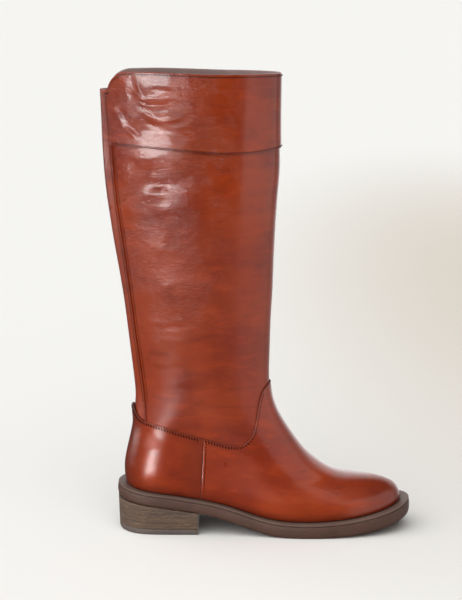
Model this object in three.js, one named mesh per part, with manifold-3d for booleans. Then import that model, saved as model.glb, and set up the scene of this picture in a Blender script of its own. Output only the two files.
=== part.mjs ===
// Knee-high riding boot for the right foot, standing empty on its sole. Millimetres, +Z up,
// +X towards the toe, outer side of the foot towards -Y. Every piece is worked out in the last's
// own frame (x = 0 at the back of the heel seat, z = 0 on the floor) and the group is then moved
// so that its origin is the bottom centre of its bounding box.
import * as THREE from "three";
import { mergeVertices } from "three/addons/utils/BufferGeometryUtils.js";
import Module from "manifold-3d";

const wasm = await Module();
wasm.setup();

// ---- driving dimensions ----
const FOOT_LENGTH = 256; // heel seat back to toe tip, along the feather line
const SHAFT_TURN = THREE.MathUtils.degToRad(2); // the leg points this much outwards in plan
const WALL = 2.4; // shaft leather and lining together
const LEATHER = 1.2; // one overlaid leather
const STRIP_LEATHER = 1.0;
const GAP = 0.3; // between pieces that touch
const AROUND = 40; // points round each ring of the upper, an even number
const SOLE_AROUND = 64; // and round the sole

// ---- sole unit ----
const WELT = 2.2; // welt strip thickness
const WELT_WIDTH = 15; // from the sole's edge inwards
const OVERHANG_HEEL = 10.0; // how far the sole's edge stands out past the feather line
const OVERHANG_WAIST = 7.2;
const OVERHANG_BALL = 8.4;
const OVERHANG_TOE = 10.8;
const FLAT_FROM = 152; // the forefoot stands on the floor between these two
const FLAT_TO = 178;
const TOE_SPRING = 10.8; // rise of the outsole's underside at the toe tip
const BREAST = 67.5; // front face of the heel
const TOP_LIFT = 5.2;
const INSOLE = 3.2;

// ---- leg and collar ----
const RIM = 426.8; // height of the collar's rim at the front
const RIM_RISE = 2.0; // how much higher it is towards the back
const STRIP_TOP = 410; // the back strip stops below the collar's rim
const CORNER_RADIUS = 20; // rounded rear corners of the collar
const CORNER_X = -13.2; // rear edge of the side panels at the collar
const COUNTER_FLARE = 2.8; // how far the counter's peak stands off the leg

// ---- outlines as short tables ----
// Front centre line from the toe's feather point, over the vamp and up the shin.
const FRONT = [
  [256.0, 26.2], [256.4, 29.4], [255.0, 34.4], [251.4, 39.6], [244.0, 43.8], [232.0, 46.8],
  [218.0, 47.6], [204.0, 49.0], [191.0, 53.8], [179.0, 61.6], [167.0, 72.8], [156.8, 86.2],
  [147.6, 100.4], [139.4, 115.6], [135.0, 130.6], [133.6, 147.0], [134.0, 170.0], [134.9, 200.0],
  [136.5, 230.0], [137.4, 258.0], [138.8, 287.0], [140.8, 315.0], [142.7, 341.0], [142.5, 366.0],
  [142.4, 400.0], [142.7, 428.0],
].map(([x, z]) => ({ x, z }));
// Back centre line from the heel seat up the heel curve and the calf.
const BACK = [
  [1.6, 41.5], [0.5, 50.0], [0.6, 60.0], [2.4, 72.0], [5.0, 86.0], [7.4, 100.0], [9.2, 114.0],
  [10.2, 128.0], [9.0, 145.0], [6.8, 165.0], [4.6, 185.0], [2.2, 205.0], [-2.6, 240.0],
  [-7.3, 268.0], [-11.7, 298.0], [-15.4, 328.0], [-17.0, 352.0], [-18.0, 380.0], [-18.9, 410.0],
  [-19.6, 430.0],
].map(([x, z]) => ({ x, z }));
// Height of the feather line, where upper and welt meet, along the foot.
const FEATHER = [
  [-12, 45.0], [0, 43.4], [18, 40.7], [35, 38.6], [52, 36.2], [70, 33.2], [86, 30.0], [102, 25.6],
  [120, 19.8], [136, 15.9], [150, 14.4], [168, 14.0], [186, 14.6], [204, 16.0], [222, 18.6],
  [240, 22.1], [256, 26.2], [270, 30.4],
].map(([x, z]) => ({ x, z }));
// Underside of the outsole behind the flat spot.
const ARCH = [
  [-12, 32.6], [10, 29.2], [35, 26.0], [52, 23.6], [70, 20.6], [86, 16.6], [102, 11.6],
  [118, 6.4], [134, 2.0], [144, 0.4], [152, 0],
].map(([x, z]) => ({ x, z }));
// Half widths of the feather outline, outer and inner side, before the ends are rounded off.
const FOOT_WIDTHS = [
  { x: -10, outer: 25.0, inner: 25.5 },
  { x: 35, outer: 27.5, inner: 25.5 },
  { x: 70, outer: 28.0, inner: 23.5 },
  { x: 105, outer: 30.0, inner: 23.5 },
  { x: 140, outer: 34.0, inner: 32.5 },
  { x: 165, outer: 36.5, inner: 39.5 },
  { x: 188, outer: 36.0, inner: 41.5 },
  { x: 212, outer: 34.0, inner: 38.5 },
  { x: 240, outer: 30.5, inner: 33.0 },
  { x: 262, outer: 28.0, inner: 29.5 },
];
// One row for each level: z at the front centre line, where the front and back roundings of that
// ring start, how full the roundings are, how much the foot swells, and the leg's half width.
const LEVELS = [
  { z: 26, front: 196, frontFull: 0.3, back: 34, backFull: 0.25, swell: 1.0, leg: 30.0 },
  { z: 33, front: 191, frontFull: 0.28, back: 34, backFull: 0.25, swell: 1.03, leg: 30.0 },
  { z: 40, front: 168, frontFull: 0.18, back: 35, backFull: 0.22, swell: 1.05, leg: 30.0 },
  { z: 44, front: 142, frontFull: 0.05, back: 36, backFull: 0.2, swell: 1.05, leg: 30.0 },
  { z: 47, front: 127, frontFull: 0.0, back: 37, backFull: 0.19, swell: 1.04, leg: 30.0 },
  { z: 56, front: 121, frontFull: 0.0, back: 38, backFull: 0.16, swell: 1.03, leg: 30.0 },
  { z: 68, front: 114, frontFull: 0.02, back: 42, backFull: 0.14, swell: 1.0, leg: 30.0 },
  { z: 86, front: 101, frontFull: 0.04, back: 48, backFull: 0.1, swell: 0.97, leg: 30.0 },
  { z: 110, front: 84, frontFull: 0.06, back: 56, backFull: 0.02, swell: 0.95, leg: 29.8 },
  { z: 140, front: 72, frontFull: 0.04, back: 62, backFull: -0.04, swell: 0.94, leg: 30.2 },
  { z: 180, front: 66, frontFull: 0.02, back: 64, backFull: -0.1, swell: 0.94, leg: 31.4 },
  { z: 240, front: 64, frontFull: 0.02, back: 66, backFull: -0.14, swell: 0.94, leg: 33.4 },
  { z: 300, front: 62, frontFull: 0.04, back: 70, backFull: -0.18, swell: 0.94, leg: 34.4 },
  { z: 360, front: 62, frontFull: 0.06, back: 74, backFull: -0.24, swell: 0.94, leg: 33.4 },
  { z: 430, front: 62, frontFull: 0.08, back: 80, backFull: -0.3, swell: 0.94, leg: 31.0 },
];
// Front heights of the modelled rings.
const FOOT_RINGS = [26.2, 28.2, 31, 34.5, 38.5, 42.2, 45, 46.8, 47.9, 50, 54, 61, 71, 83, 97, 113, 131];
const LEG_RINGS = [150, 180, 215, 250, 285, 320, 352, 380, 405, RIM];
const STRIP_RINGS = [97, 113, 131, ...LEG_RINGS];
const BAND_RINGS = [320, 352, 380, 405, RIM];
const LEATHER_FOOT = 0.7; // the foot leathers start this far above the feather line
// Top edge of the foot leathers in side view, from behind the heel to the peak on the shin.
const FOOT_EDGE = [
  [-10, 120.6], [2, 120.2], [6.4, 117.6], [9.6, 112.4], [13.4, 108.6], [18.5, 106.7], [28, 104.7],
  [37.4, 102.3], [46.6, 99.4], [55.8, 96.6], [65, 94.0], [72.4, 92.3], [80, 90.3], [88.1, 87.9],
  [95.5, 86.4], [102, 85.9], [106.6, 86.6], [111.2, 88.6], [115.8, 92.6], [119.4, 99.4],
  [121.8, 110.0], [123.8, 122.0], [125.6, 129.6], [128.0, 135.0], [132.0, 139.4], [138.0, 143.8],
  [146, 148.6],
].map(([x, z]) => ({ x, z }));
// Lower edge of the collar band in side view.
const BAND_EDGE = [
  [-40, 362.6], [-15, 362.4], [10, 361.8], [40, 360.0], [60, 358.4], [85, 356.4], [105, 356.3],
  [125, 357.2], [141, 359.3], [170, 362.0],
].map(([x, z]) => ({ x, z }));
// Side seams between the back strip and the leg in side view.
const STRIP_EDGE = [
  [22.0, 90], [19.7, 112], [18.9, 126], [16.8, 145], [14.3, 164], [10.4, 192], [7.0, 220],
  [3.4, 248], [-0.3, 276], [-4.1, 304], [-6.9, 331], [-8.9, 358], [-11.0, 385], [-12.7, 408],
  [-13.0, 420],
].map(([x, z]) => ({ x, z }));
// Side seam between counter and vamp, as x low on the side and x at the foot edge.
const SIDE_SEAM = { foot: 68.9, top: 73.4 };

// ---- curve helpers ----
// Natural cubic spline through rows, read as value(key).
function spline(rows, key, value) {
  const n = rows.length;
  const x = rows.map((r) => r[key]);
  const y = rows.map((r) => r[value]);
  const bend = new Array(n).fill(0);
  const carry = new Array(n).fill(0);
  for (let i = 1; i < n - 1; i++) {
    const share = (x[i] - x[i - 1]) / (x[i + 1] - x[i - 1]);
    const pivot = share * bend[i - 1] + 2;
    const jump = (y[i + 1] - y[i]) / (x[i + 1] - x[i]) - (y[i] - y[i - 1]) / (x[i] - x[i - 1]);
    bend[i] = (share - 1) / pivot;
    carry[i] = ((6 * jump) / (x[i + 1] - x[i - 1]) - share * carry[i - 1]) / pivot;
  }
  for (let i = n - 2; i >= 0; i--) bend[i] = bend[i] * bend[i + 1] + carry[i];
  return (at) => {
    let i = 1;
    while (i < n - 1 && at > x[i]) i++;
    const step = x[i] - x[i - 1];
    const a = (x[i] - at) / step;
    const b = (at - x[i - 1]) / step;
    const curl = ((a ** 3 - a) * bend[i - 1] + (b ** 3 - b) * bend[i]) * (step * step / 6);
    return a * y[i - 1] + b * y[i] + curl;
  };
}

// A smooth plane curve through rows of x and z, read as x at a height.
function heightCurve(rows) {
  let run = 0;
  const along = rows.map((r, i) => {
    if (i) run += Math.hypot(r.x - rows[i - 1].x, r.z - rows[i - 1].z);
    return { run, x: r.x, z: r.z };
  });
  const xAt = spline(along, "run", "x");
  const zAt = spline(along, "run", "z");
  return (z) => {
    let low = 0;
    let high = run;
    for (let k = 0; k < 40; k++) {
      const mid = (low + high) / 2;
      if (zAt(mid) < z) low = mid;
      else high = mid;
    }
    return xAt((low + high) / 2);
  };
}

const lerp = THREE.MathUtils.lerp;
const smooth = THREE.MathUtils.smoothstep;
// Quarter of an oval: 1 at q = 0, 0 at q = 1, squarer as full grows.
const rounding = (q, full) => Math.sqrt(Math.max(0, 1 - q * q)) * (1 + full * q * q);

// ---- the last ----
const frontX = heightCurve(FRONT);
const backX = heightCurve(BACK);
const featherZ = spline(FEATHER, "x", "z");
const archZ = spline(ARCH, "x", "z");
const outerWidth = spline(FOOT_WIDTHS, "x", "outer");
const innerWidth = spline(FOOT_WIDTHS, "x", "inner");
const level = Object.fromEntries(
  ["front", "frontFull", "back", "backFull", "swell", "leg"].map((k) => [k, spline(LEVELS, "z", k)]),
);
const rimRise = (x) => RIM_RISE * smooth(-x, -95, -20);

// One ring of the last: its ends and the height of its surface along the foot.
function ring(z) {
  const front = frontX(z);
  const foot = 1 - smooth(z, 50, 150);
  const seat = featherZ(front);
  const height = (x) => z + (featherZ(x) - seat) * foot + rimRise(x) * smooth(z, 330, RIM);
  let back = 0;
  for (let k = 0; k < 6; k++) back = backX(height(back));
  const legShare = smooth(z, 44, 118);
  const half = (x, side) => {
    const width = side < 0 ? outerWidth(x) : innerWidth(x);
    const body = lerp(width * level.swell(z), level.leg(z), legShare);
    const ahead = Math.max(0, (x - level.front(z)) / (front - level.front(z)));
    const behind = Math.max(0, (level.back(z) - x) / (level.back(z) - back));
    return body * rounding(ahead, level.frontFull(z)) * rounding(behind, level.backFull(z));
  };
  return { front, back, height, half, turn: legShare };
}

// Point of the last's surface: turn 0 is the back centre, a half the front centre, 0 to 0.5 outer.
function lastPoint(z, turn) {
  const r = ring(z);
  const angle = turn * 2 * Math.PI;
  const x = (r.back + r.front) / 2 - ((r.front - r.back) / 2) * Math.cos(angle);
  const side = turn > 0 && turn < 0.5 ? -1 : 1;
  const across = Math.abs(Math.sin(angle)) < 1e-9 ? 0 : side * r.half(x, side);
  return new THREE.Vector3(x, across - x * Math.tan(SHAFT_TURN) * r.turn, r.height(x));
}

// Outward normal of the last's surface, from small steps along the ring and up the leg.
function lastNormal(z, turn) {
  const low = Math.max(z - 0.4, FOOT_RINGS[0]);
  const high = Math.min(z + 0.4, RIM);
  const round = lastPoint(z, turn + 0.004).sub(lastPoint(z, turn - 0.004));
  const up = lastPoint(high, turn).sub(lastPoint(low, turn));
  return round.cross(up).normalize();
}

// A ring of points on the last's surface moved out by an offset, and by an extra one where given.
function offsetRing(z, offset, extra = () => 0) {
  return Array.from({ length: AROUND }, (_, i) => {
    const turn = i / AROUND;
    const p = lastPoint(z, turn);
    return p.addScaledVector(lastNormal(z, turn), offset + extra(p));
  });
}

// ---- solids ----
// Skins a list of closed loops of equal length. Without caps the last loop joins the first.
// From the loop numbered flipFrom on, the faces are split along their other diagonal.
function loft(loops, capped, flipFrom = Infinity) {
  const count = loops[0].length;
  const points = loops.flat();
  const index = [];
  const quad = (a, b, c, d) => index.push(a, b, c, a, c, d);
  const last = capped ? loops.length - 1 : loops.length;
  for (let k = 0; k < last; k++) {
    const here = k * count;
    const next = ((k + 1) % loops.length) * count;
    for (let i = 0; i < count; i++) {
      const j = (i + 1) % count;
      if (k < flipFrom) quad(here + i, here + j, next + j, next + i);
      else quad(here + j, next + j, next + i, here + i);
    }
  }
  if (capped) {
    const top = (loops.length - 1) * count;
    for (let i = 0; i < count / 2; i++) {
      const pair = (count - i) % count;
      quad(i, pair, count - i - 1, i + 1);
      quad(top + i, top + i + 1, top + count - i - 1, top + pair);
    }
  }
  const flat = points.flatMap((p) => [p.x, p.y, p.z]);
  const geometry = new THREE.BufferGeometry();
  geometry.setAttribute("position", new THREE.Float32BufferAttribute(flat, 3));
  geometry.setIndex(index);
  return geometry;
}

// A three.js geometry as a manifold solid, with its shared vertices merged and slivers dropped.
function toSolid(geometry) {
  const bare = geometry.clone();
  bare.deleteAttribute("normal");
  bare.deleteAttribute("uv");
  const merged = mergeVertices(bare, 1e-3);
  const kept = [];
  const at = merged.index.array;
  for (let i = 0; i < at.length; i += 3) {
    const [a, b, c] = [at[i], at[i + 1], at[i + 2]];
    if (a !== b && b !== c && c !== a) kept.push(a, b, c);
  }
  const solid = new wasm.Manifold(
    new wasm.Mesh({
      numProp: 3,
      vertProperties: new Float32Array(merged.attributes.position.array),
      triVerts: new Uint32Array(kept),
    }),
  );
  return solid;
}

function toGeometry(solid) {
  const mesh = solid.getMesh();
  const geometry = new THREE.BufferGeometry();
  geometry.setAttribute("position", new THREE.BufferAttribute(mesh.vertProperties, 3));
  geometry.setIndex(new THREE.BufferAttribute(mesh.triVerts, 1));
  return geometry;
}

// A hollow shell between two offsets of the last, open at both ends.
function shell(rings, inner, outer, extra) {
  const outside = rings.map((z) => offsetRing(z, outer, extra));
  const inside = rings.map((z) => offsetRing(z, inner, extra)).reverse();
  return toSolid(loft([...outside, ...inside], false, rings.length));
}

// A cutter: an outline in side view (x, z) carried right through the boot.
function sideCutter(outline) {
  const shape = new THREE.Shape(outline.map(([x, z]) => new THREE.Vector2(x, z)));
  const block = new THREE.ExtrudeGeometry(shape, { depth: 240, bevelEnabled: false });
  block.rotateX(Math.PI / 2).translate(0, 120, 0);
  return toSolid(block);
}

// ---- upper and its overlays ----
const footEdgeZ = spline(FOOT_EDGE, "x", "z");
const steps = (from, to, count) => Array.from({ length: count }, (_, i) => lerp(from, to, i / (count - 1)));
const bandEdgeZ = spline(BAND_EDGE, "x", "z");
const stripEdgeX = spline(STRIP_EDGE, "z", "x");

// Everything behind the rounded rear corners of the collar and above the back strip.
function collarNotch() {
  const top = RIM + RIM_RISE;
  const arc = steps(Math.PI, Math.PI / 2, 9).map((a) => [
    CORNER_X + CORNER_RADIUS * (1 + Math.cos(a)),
    top - CORNER_RADIUS * (1 - Math.sin(a)),
  ]);
  const outline = [[-40, STRIP_TOP], [CORNER_X, STRIP_TOP], ...arc];
  return sideCutter([...outline, [CORNER_X + CORNER_RADIUS, 450], [-40, 450]]);
}

function makeUpper() {
  return shell([...FOOT_RINGS, ...LEG_RINGS], -WALL, 0).subtract(collarNotch());
}

// The counter's peak flares away from the leg at the back.
const flare = (p) => COUNTER_FLARE * smooth(p.z, 98, 118) * (1 - smooth(p.x, 8, 22));

// Region below the foot edge, in front of or behind the side seam.
function footRegion(isVamp) {
  if (isVamp) {
    const edge = steps(146, SIDE_SEAM.top, 34).map((x) => [x, footEdgeZ(x)]);
    return sideCutter([[SIDE_SEAM.foot, 5], [300, 5], [300, edge[0][1]], ...edge]);
  }
  const edge = steps(SIDE_SEAM.top - GAP, -8, 26).map((x) => [x, footEdgeZ(x)]);
  return sideCutter([[-40, 5], [SIDE_SEAM.foot - GAP, 5], ...edge, [-40, footEdgeZ(-8)]]);
}

function makeFootLeather(isVamp) {
  const rings = [FOOT_RINGS[0] + LEATHER_FOOT, ...FOOT_RINGS.slice(1), LEG_RINGS[0]];
  return shell(rings, GAP, GAP + LEATHER, flare).intersect(footRegion(isVamp));
}

// The strip lies behind its side seams, between the counter and the collar.
function stripRegion(grow) {
  const seam = steps(96, 430, 24).map((z) => [stripEdgeX(z) + grow, z]);
  return sideCutter([[-40, 90], ...seam, [-40, 430]]);
}

function makeBackStrip() {
  const cover = shell(STRIP_RINGS, GAP, GAP + STRIP_LEATHER);
  const edge = steps(30, 2, 20).map((x) => [x, footEdgeZ(x) + 0.8]);
  const between = sideCutter([[40, STRIP_TOP], ...edge, [-40, 121], [-40, STRIP_TOP]]);
  return cover.intersect(stripRegion(0)).intersect(between);
}

function makeCollarBand() {
  const cover = shell(BAND_RINGS, GAP, GAP + LEATHER);
  const edge = steps(-40, 170, 22).map((x) => [x, bandEdgeZ(x)]);
  const above = sideCutter([...edge, [170, 460], [-40, 460]]);
  return cover.intersect(above).subtract(collarNotch()).subtract(stripRegion(GAP));
}

// ---- sole unit ----
// Plan outline of the feather line moved out by a distance, as points with x and y.
function planOutline(distance) {
  const count = SOLE_AROUND;
  const base = Array.from({ length: count }, (_, i) => lastPoint(FOOT_RINGS[0], i / count));
  return base.map((p, i) => {
    const ahead = base[(i + 1) % count];
    const behind = base[(i + count - 1) % count];
    const out = new THREE.Vector2(ahead.y - behind.y, behind.x - ahead.x).normalize();
    const move = distance(p.x);
    return new THREE.Vector2(p.x + out.x * move, p.y + out.y * move);
  });
}

function overhang(x) {
  const behind = lerp(OVERHANG_HEEL, OVERHANG_WAIST, smooth(x, 0, 34));
  const ahead = lerp(OVERHANG_BALL, OVERHANG_TOE, smooth(x, 215, 254));
  return lerp(behind, ahead, smooth(x, 80, 150));
}

const edgeLoop = (inset, height) =>
  planOutline((x) => overhang(x) - inset).map((p) => new THREE.Vector3(p.x, p.y, height(p.x)));
const weltTop = (x) => featherZ(x) - GAP - 0.1;
const weltUnder = (x) => weltTop(x) - WELT;
const soleTop = (x) => weltUnder(x) - GAP;

function soleUnder(x) {
  if (x < FLAT_FROM) return archZ(x);
  const rise = Math.max(0, (x - FLAT_TO) / (FOOT_LENGTH - FLAT_TO));
  return TOE_SPRING * rise ** 2.2;
}

function makeOutsole() {
  const between = (share) => (x) => lerp(soleUnder(x), soleTop(x), share);
  return loft(
    [
      edgeLoop(2.0, soleUnder),
      edgeLoop(0.5, between(0.14)),
      edgeLoop(0, between(0.5)),
      edgeLoop(0.3, soleTop),
      edgeLoop(WELT_WIDTH + GAP, soleTop),
      edgeLoop(WELT_WIDTH + 2 * GAP, weltTop),
    ],
    true,
  );
}

function makeWelt() {
  return loft(
    [
      edgeLoop(0.9, weltUnder),
      edgeLoop(0.9, (x) => lerp(weltUnder(x), weltTop(x), 0.6)),
      edgeLoop(1.7, weltTop),
      edgeLoop(WELT_WIDTH, weltTop),
      edgeLoop(WELT_WIDTH, weltUnder),
    ],
    false,
  );
}

// The heel's outline: the sole's edge back from the breast, with the breast as a straight front.
function heelLoop(inset, height) {
  const half = SOLE_AROUND / 2;
  const edge = edgeLoop(inset, height);
  const outer = edge.slice(0, half).filter((p) => p.x < BREAST - 3);
  const inner = edge.slice(half + 1).filter((p) => p.x < BREAST - 3);
  const sideAt = (run) => {
    const k = run.findIndex((p) => p.x >= BREAST);
    const t = (BREAST - run[k - 1].x) / (run[k].x - run[k - 1].x);
    return new THREE.Vector3(BREAST, lerp(run[k - 1].y, run[k].y, t), height(BREAST));
  };
  const outerCorner = sideAt(edge.slice(0, half));
  const innerCorner = sideAt([...edge.slice(half + 1)].reverse());
  const middle = outerCorner.clone().lerp(innerCorner, 0.5);
  return [...outer, outerCorner, middle, innerCorner, ...inner];
}

function makeHeel() {
  const top = (x) => soleUnder(x) - GAP;
  return loft(
    [
      heelLoop(1.4, () => TOP_LIFT + GAP),
      heelLoop(0.9, (x) => lerp(TOP_LIFT + GAP, top(x), 0.5)),
      heelLoop(0.6, top),
    ],
    true,
  );
}

function makeTopLift() {
  return loft(
    [heelLoop(2.6, () => 0), heelLoop(1.5, () => 1.2), heelLoop(1.4, () => TOP_LIFT)],
    true,
  );
}

function makeInsole() {
  const loop = (inset, lift) =>
    planOutline(() => -WALL - GAP - inset).map((p) => new THREE.Vector3(p.x, p.y, featherZ(p.x) + lift));
  return loft([loop(0.6, 0), loop(0.6, INSOLE - 0.8), loop(1.4, INSOLE)], true);
}

// ---- assembly ----
const PIECES = [
  ["outsole", makeOutsole, 0x5a4238, 0.62],
  ["welt", makeWelt, 0x5e463b, 0.6],
  ["heel", makeHeel, 0x64513f, 0.75],
  ["top_lift", makeTopLift, 0x50403a, 0.7],
  ["insole", makeInsole, 0x6d5648, 0.8],
  ["upper", makeUpper, 0x9c3f22, 0.35],
  ["vamp", () => makeFootLeather(true), 0xa2452a, 0.3],
  ["counter", () => makeFootLeather(false), 0x963820, 0.3],
  ["back_strip", makeBackStrip, 0x9a4a34, 0.4],
  ["collar_band", makeCollarBand, 0xa04022, 0.35],
];

const boot = new THREE.Group();
for (const [name, make, color, roughness] of PIECES) {
  const made = make();
  const geometry = made.isBufferGeometry ? toGeometry(toSolid(made)) : toGeometry(made);
  const material = new THREE.MeshStandardMaterial({ color, roughness, metalness: 0 });
  const mesh = new THREE.Mesh(geometry, material);
  mesh.name = name;
  boot.add(mesh);
}
const size = new THREE.Box3().setFromObject(boot);
boot.position.set(-(size.min.x + size.max.x) / 2, -(size.min.y + size.max.y) / 2, -size.min.z);

export default boot;
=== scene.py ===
"""A knee-high leather riding boot, finished around its CAD frame.

Every leather is laid on the last: the same few outlines as the CAD model, read as a surface with a
level (the height at the front centre line) and a turn (0 at the back seam, a half at the shin).
Lengths of the last are in millimetres, and Last.row() takes points to the frame's metres.
"""

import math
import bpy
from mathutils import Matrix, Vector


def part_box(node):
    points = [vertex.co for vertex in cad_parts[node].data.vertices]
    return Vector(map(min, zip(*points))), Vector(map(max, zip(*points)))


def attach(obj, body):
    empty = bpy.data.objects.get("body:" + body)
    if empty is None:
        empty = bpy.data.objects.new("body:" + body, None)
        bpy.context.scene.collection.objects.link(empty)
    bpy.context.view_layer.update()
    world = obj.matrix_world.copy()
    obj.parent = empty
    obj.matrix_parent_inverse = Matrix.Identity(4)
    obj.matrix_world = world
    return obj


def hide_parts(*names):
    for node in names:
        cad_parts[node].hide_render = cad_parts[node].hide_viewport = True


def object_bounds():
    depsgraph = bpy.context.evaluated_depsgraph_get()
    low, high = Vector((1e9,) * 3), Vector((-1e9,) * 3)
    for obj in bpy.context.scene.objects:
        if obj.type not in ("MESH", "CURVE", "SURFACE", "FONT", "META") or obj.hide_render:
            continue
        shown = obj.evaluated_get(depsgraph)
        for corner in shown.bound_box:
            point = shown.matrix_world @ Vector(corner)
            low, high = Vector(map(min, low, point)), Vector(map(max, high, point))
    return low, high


bl_info = {
    "name": "Riding Boot",
    "version": (1, 0, 0),
    "blender": (4, 5, 0),
    "location": "View3D > Sidebar > Boot",
    "description": "Finishes a knee-high leather boot piece by piece around its CAD frame",
    "category": "Object",
}

import bpy
import numpy as np
from mathutils import Matrix, Vector

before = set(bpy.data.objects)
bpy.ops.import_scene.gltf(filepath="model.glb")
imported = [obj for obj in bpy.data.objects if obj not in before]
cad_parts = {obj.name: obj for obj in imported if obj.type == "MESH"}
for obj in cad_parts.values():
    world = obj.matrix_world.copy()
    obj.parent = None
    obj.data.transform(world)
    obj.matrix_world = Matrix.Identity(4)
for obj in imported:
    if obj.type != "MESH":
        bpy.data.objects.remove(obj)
CAD_BOX = [list(corner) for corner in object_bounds()]
MM = 0.001

# ---- the last's driving dimensions, in millimetres ----
FOOT_LENGTH = 256.0
SHAFT_TURN = math.tan(math.radians(2))  # the leg points outwards in plan
RIM = 426.8
RIM_RISE = 2.0
STRIP_TOP = 410.0
CORNER_RADIUS = 20.0
CORNER_X = -13.2
BREAST = 67.5
FLAT_FROM, FLAT_TO = 152.0, 178.0
TOE_SPRING = 10.8
FOOT_LEVEL = 26.2  # the level of the feather line
GAP = 0.3  # between pieces that meet
WELT_WIDTH = 15.0
LEATHER_FOOT = 0.7  # the foot leathers start this far over the feather line
COUNTER_FLARE = 2.8
STRIP_THICKNESS = 1.0
SHAFT_TUCK = 14.0  # how far the shaft leather reaches down under the foot leathers
LINING_DEPTH = 1.25  # from the last's surface in to the lining's outer face

# ---- the last's outlines, as rows of x and z ----
FRONT = [
    (256.0, 26.2), (256.4, 29.4), (255.0, 34.4), (251.4, 39.6), (244.0, 43.8), (232.0, 46.8),
    (218.0, 47.6), (204.0, 49.0), (191.0, 53.8), (179.0, 61.6), (167.0, 72.8), (156.8, 86.2),
    (147.6, 100.4), (139.4, 115.6), (135.0, 130.6), (133.6, 147.0), (134.0, 170.0), (134.9, 200.0),
    (136.5, 230.0), (137.4, 258.0), (138.8, 287.0), (140.8, 315.0), (142.7, 341.0), (142.5, 366.0),
    (142.4, 400.0), (142.7, 428.0),
]
BACK = [
    (1.6, 41.5), (0.5, 50.0), (0.6, 60.0), (2.4, 72.0), (5.0, 86.0), (7.4, 100.0), (9.2, 114.0),
    (10.2, 128.0), (9.0, 145.0), (6.8, 165.0), (4.6, 185.0), (2.2, 205.0), (-2.6, 240.0),
    (-7.3, 268.0), (-11.7, 298.0), (-15.4, 328.0), (-17.0, 352.0), (-18.0, 380.0), (-18.9, 410.0),
    (-19.6, 430.0),
]
FEATHER = [
    (-12, 45.0), (0, 43.4), (18, 40.7), (35, 38.6), (52, 36.2), (70, 33.2), (86, 30.0), (102, 25.6),
    (120, 19.8), (136, 15.9), (150, 14.4), (168, 14.0), (186, 14.6), (204, 16.0), (222, 18.6),
    (240, 22.1), (256, 26.2), (270, 30.4),
]
ARCH = [
    (-12, 32.6), (10, 29.2), (35, 26.0), (52, 23.6), (70, 20.6), (86, 16.6), (102, 11.6),
    (118, 6.4), (134, 2.0), (144, 0.4), (152, 0),
]
FOOT_EDGE = [
    (-10, 120.6), (2, 120.2), (6.4, 117.6), (9.6, 112.4), (13.4, 108.6), (18.5, 106.7),
    (28, 104.7), (37.4, 102.3), (46.6, 99.4), (55.8, 96.6), (65, 94.0), (72.4, 92.3), (80, 90.3),
    (88.1, 87.9), (95.5, 86.4), (102, 85.9), (106.6, 86.6), (111.2, 88.6), (115.8, 92.6),
    (119.4, 99.4), (121.8, 110.0), (123.8, 122.0), (125.6, 129.6), (128.0, 135.0),
    (132.0, 139.4), (138.0, 143.8), (146, 148.6),
]
BAND_EDGE = [
    (-40, 362.6), (-15, 362.4), (10, 361.8), (40, 360.0), (60, 358.4), (85, 356.4), (105, 356.3),
    (125, 357.2), (141, 359.3), (170, 362.0),
]
STRIP_EDGE = [
    (22.0, 90), (19.7, 112), (18.9, 126), (16.8, 145), (14.3, 164), (10.4, 192), (7.0, 220),
    (3.4, 248), (-0.3, 276), (-4.1, 304), (-6.9, 331), (-8.9, 358), (-11.0, 385), (-12.7, 408),
    (-13.0, 420),
]
SIDE_SEAM = [(68.9, 5), (73.4, 95)]
# x, then the half widths of the feather line on the outer and the inner side.
FOOT_WIDTHS = [
    (-10, 25.0, 25.5), (35, 27.5, 25.5), (70, 28.0, 23.5), (105, 30.0, 23.5), (140, 34.0, 32.5),
    (165, 36.5, 39.5), (188, 36.0, 41.5), (212, 34.0, 38.5), (240, 30.5, 33.0), (262, 28.0, 29.5),
]
# level, start and fullness of the front rounding, then of the back rounding, swell, half leg.
LEVELS = [
    (26, 196, 0.3, 34, 0.25, 1.0, 30.0), (33, 191, 0.28, 34, 0.25, 1.03, 30.0),
    (40, 168, 0.18, 35, 0.22, 1.05, 30.0), (44, 142, 0.05, 36, 0.2, 1.05, 30.0),
    (47, 127, 0.0, 37, 0.19, 1.04, 30.0), (56, 121, 0.0, 38, 0.16, 1.03, 30.0),
    (68, 114, 0.02, 42, 0.14, 1.0, 30.0), (86, 101, 0.04, 48, 0.1, 0.97, 30.0),
    (110, 84, 0.06, 56, 0.02, 0.95, 29.8), (140, 72, 0.04, 62, -0.04, 0.94, 30.2),
    (180, 66, 0.02, 64, -0.1, 0.94, 31.4), (240, 64, 0.02, 66, -0.14, 0.94, 33.4),
    (300, 62, 0.04, 70, -0.18, 0.94, 34.4), (360, 62, 0.06, 74, -0.24, 0.94, 33.4),
    (430, 62, 0.08, 80, -0.3, 0.94, 31.0),
]


# ---- curves ----
def smooth(value, low, high):
    """0 at low, 1 at high, with a smooth start and end."""
    t = np.clip((value - low) / (high - low), 0, 1)
    return t * t * (3 - 2 * t)


def lerp(a, b, t):
    """The value a share t of the way from a to b."""
    return a + (b - a) * t


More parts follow.
